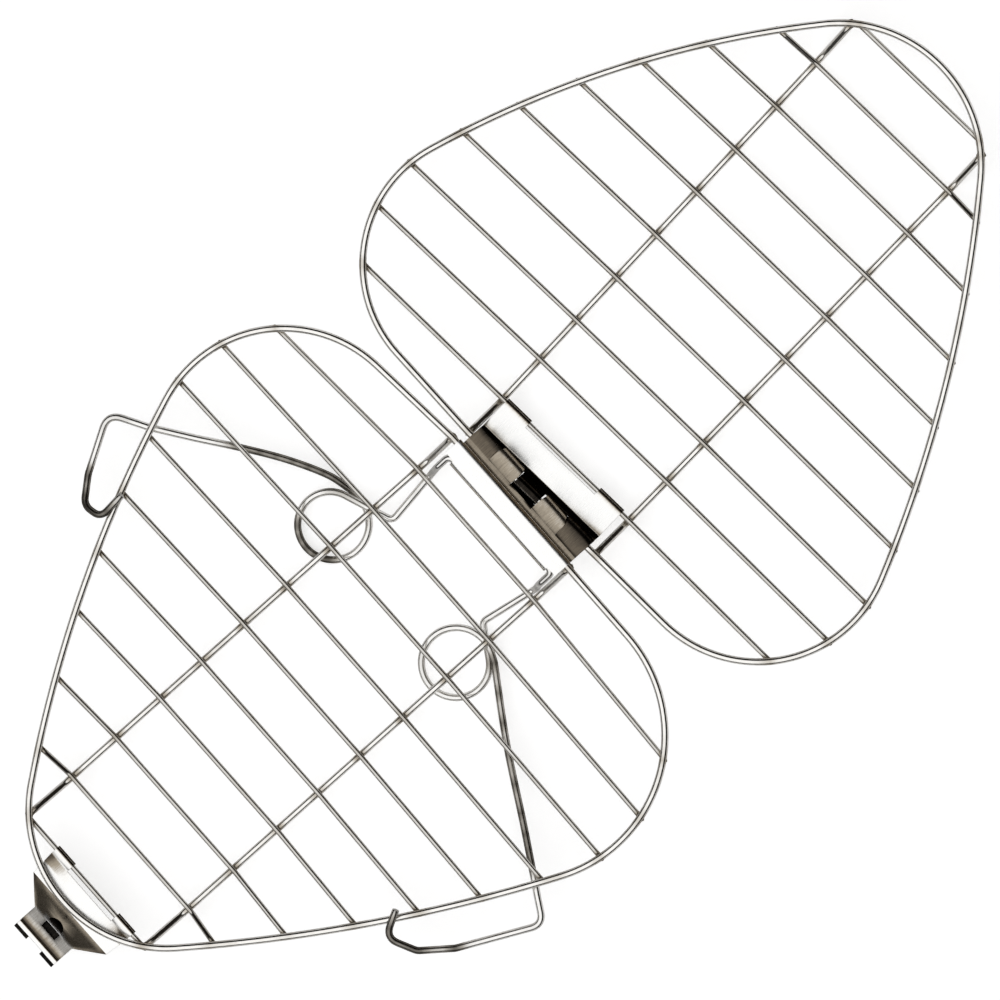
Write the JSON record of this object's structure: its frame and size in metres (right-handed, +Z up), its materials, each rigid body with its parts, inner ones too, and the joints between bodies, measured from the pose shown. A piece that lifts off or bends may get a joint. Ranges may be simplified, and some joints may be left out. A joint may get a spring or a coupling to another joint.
{
  "type": "folding campfire grill grate",
  "caption": "Folding campfire grill grate: two rounded-triangle wire halves hinged along their straight edges, with a sprung wire bail that hooks over the rim.",
  "frame": {"origin": "centre of the hinge leaf's flat top strip, on its top face", "axes": "+Z up out of the strip, +Y from the lower half towards the upper half, +X along the hinge"},
  "size_m": [0.2723, 0.5184, 0.029],
  "materials": {
    "bright_wire": "drawn and polished stainless wire",
    "brushed_sheet": "brushed stainless sheet, bent"
  },
  "bodies": {
    "lower_half": {"hinge_leaf": "brushed_sheet", "lower_cross_wire_01": "bright_wire", "lower_cross_wire_02": "bright_wire", "lower_cross_wire_03": "bright_wire", "lower_cross_wire_04": "bright_wire", "lower_cross_wire_05": "bright_wire", "lower_cross_wire_06": "bright_wire", "lower_cross_wire_07": "bright_wire", "lower_cross_wire_08": "bright_wire", "lower_cross_wire_09": "bright_wire", "lower_cross_wire_10": "bright_wire", "lower_rail_left": "bright_wire", "lower_rail_right": "bright_wire", "lower_rim": "bright_wire"},
    "upper_half": {"hinge_plate": "brushed_sheet", "upper_cross_wire_01": "bright_wire", "upper_cross_wire_02": "bright_wire", "upper_cross_wire_03": "bright_wire", "upper_cross_wire_04": "bright_wire", "upper_cross_wire_05": "bright_wire", "upper_cross_wire_06": "bright_wire", "upper_cross_wire_07": "bright_wire", "upper_cross_wire_08": "bright_wire", "upper_cross_wire_09": "bright_wire", "upper_cross_wire_10": "bright_wire", "upper_rail_left": "bright_wire", "upper_rail_right": "bright_wire", "upper_rim": "bright_wire"},
    "spring_bail": {"spring_bail": "bright_wire"},
    "left_arm": {"left_spring_arm": "bright_wire"},
    "right_arm": {"right_spring_arm": "bright_wire"},
    "apex_catch": {"apex_catch": "brushed_sheet"}
  },
  "joints": [
    {"name": "fold", "type": "hinge", "parent": "lower_half", "child": "upper_half", "pos_m": [-0.0009, 0.0117, -0.0024], "axis": [0.9993, 0.0384, 0], "range_deg": [0, 177]},
    {"name": "bail_swing", "type": "hinge", "parent": "lower_half", "child": "spring_bail", "pos_m": [-0.0009, -0.0029, -0.0024], "axis": [1, 0, 0], "range_deg": [-0.4, 0.2]},
    {"name": "left_arm_turn", "type": "hinge", "parent": "spring_bail", "child": "left_arm", "pos_m": [-0.0433, -0.061, -0.0224], "axis": [0, 0, 1], "range_deg": [-1, 2], "stiffness_Nm_per_rad": 0.4},
    {"name": "right_arm_turn", "type": "hinge", "parent": "spring_bail", "child": "right_arm", "pos_m": [0.0329, -0.0607, -0.0224], "axis": [0, 0, 1], "range_deg": [-3, 1], "stiffness_Nm_per_rad": 0.4},
    {"name": "catch_swing", "type": "hinge", "parent": "lower_half", "child": "apex_catch", "pos_m": [0.0043, -0.2323, -0.0052], "axis": [1, 0, 0], "range_deg": [0, 90]}
  ]
}
